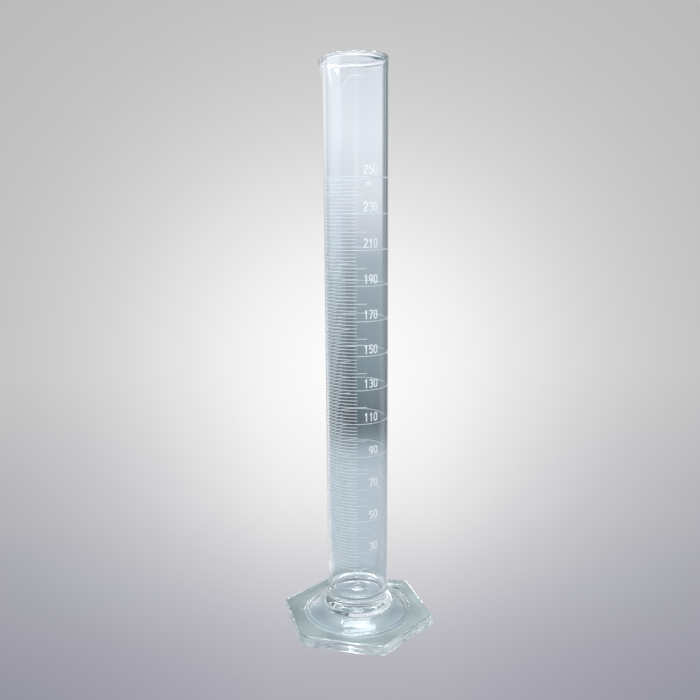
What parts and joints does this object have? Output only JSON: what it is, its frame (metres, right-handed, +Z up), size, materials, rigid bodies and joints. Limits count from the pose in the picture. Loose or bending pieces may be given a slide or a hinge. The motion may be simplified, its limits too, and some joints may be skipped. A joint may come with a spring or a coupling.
{
  "type": "graduated cylinder",
  "caption": "Tall straight glass measuring cylinder with a pouring spout, a hexagonal pressed glass foot and a printed white enamel scale with rings and numerals.",
  "frame": {"origin": "on the tube's axis, on the plane that the foot stands on", "axes": "+Z up along the tube; two corners of the hexagonal foot lie on the X axis; the numerals face -Y; the spout points 154 degrees from +X about +Z"},
  "size_m": [0.0982, 0.0866, 0.3455],
  "materials": {
    "tube_glass": "clear drawn glass, very pale blue-green, fire-polished",
    "foot_glass": "clear pressed glass, pale green in the thick edge",
    "white_enamel": "thin white printed enamel, fired on, satin"
  },
  "bodies": {
    "root": {"glass_tube": "tube_glass", "hex_foot": "foot_glass", "long_line_100": "white_enamel", "long_line_120": "white_enamel", "long_line_140": "white_enamel", "long_line_160": "white_enamel", "long_line_180": "white_enamel", "long_line_20": "white_enamel", "long_line_200": "white_enamel", "long_line_220": "white_enamel", "long_line_240": "white_enamel", "long_line_40": "white_enamel", "long_line_60": "white_enamel", "long_line_80": "white_enamel", "numeral_110_digit_1": "white_enamel", "numeral_110_digit_2": "white_enamel", "numeral_110_digit_3": "white_enamel", "numeral_130_digit_1": "white_enamel", "numeral_130_digit_2": "white_enamel", "numeral_130_digit_3": "white_enamel", "numeral_150_digit_1": "white_enamel", "numeral_150_digit_2": "white_enamel", "numeral_150_digit_3": "white_enamel", "numeral_170_digit_1": "white_enamel", "numeral_170_digit_2": "white_enamel", "numeral_170_digit_3": "white_enamel", "numeral_190_digit_1": "white_enamel", "numeral_190_digit_2": "white_enamel", "numeral_190_digit_3": "white_enamel", "numeral_210_digit_1": "white_enamel", "numeral_210_digit_2": "white_enamel", "numeral_210_digit_3": "white_enamel", "numeral_230_digit_1": "white_enamel", "numeral_230_digit_2": "white_enamel", "numeral_230_digit_3": "white_enamel", "numeral_250_digit_1": "white_enamel", "numeral_250_digit_2": "white_enamel", "numeral_250_digit_3": "white_enamel", "numeral_30_digit_1": "white_enamel", "numeral_30_digit_2": "white_enamel", "numeral_50_digit_1": "white_enamel", "numeral_50_digit_2": "white_enamel", "numeral_70_digit_1": "white_enamel", "numeral_70_digit_2": "white_enamel", "numeral_90_digit_1": "white_enamel", "numeral_90_digit_2": "white_enamel", "ring_line_110": "white_enamel", "ring_line_130": "white_enamel", "ring_line_150": "white_enamel", "ring_line_170": "white_enamel", "ring_line_190": "white_enamel", "ring_line_210": "white_enamel", "ring_line_230": "white_enamel", "ring_line_250": "white_enamel", "ring_line_30": "white_enamel", "ring_line_50": "white_enamel", "ring_line_70": "white_enamel", "ring_line_90": "white_enamel", "unit_letter_l": "white_enamel", "unit_letter_m": "white_enamel"}
  },
  "joints": []
}
